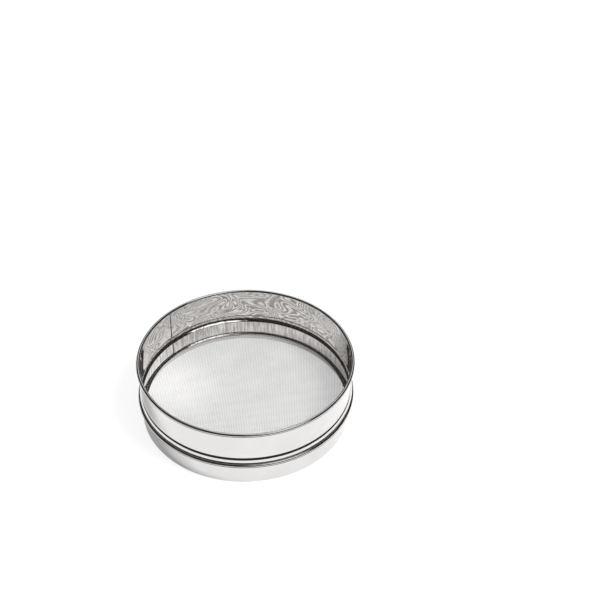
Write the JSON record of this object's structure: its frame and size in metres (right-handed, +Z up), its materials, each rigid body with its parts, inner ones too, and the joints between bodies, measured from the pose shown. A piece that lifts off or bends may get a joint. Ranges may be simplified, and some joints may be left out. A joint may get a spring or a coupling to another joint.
{
  "type": "soil sieve",
  "caption": "Round stainless steel soil sieve with a rolled wired rim, a beaded hoop, a woven wire screen and a lower skirt ring.",
  "frame": {"origin": "centre of the circle the sieve rests on, under the skirt's hem", "axes": "+Z up, along the hoop's axis, from the foot to the rim; +X and +Y along the screen's two wire directions"},
  "size_m": [0.2124, 0.2124, 0.064],
  "materials": {
    "hoop_steel": "polished",
    "skirt_steel": "polished",
    "rim_wire_steel": "satin",
    "screen_steel": "satin"
  },
  "bodies": {
    "root": {"upper_hoop": "hoop_steel", "rim_wire": "rim_wire_steel", "lower_skirt": "skirt_steel", "screen_warp_wires": "screen_steel", "screen_weft_wires": "screen_steel", "screen_edge_margin": "screen_steel"}
  },
  "joints": []
}
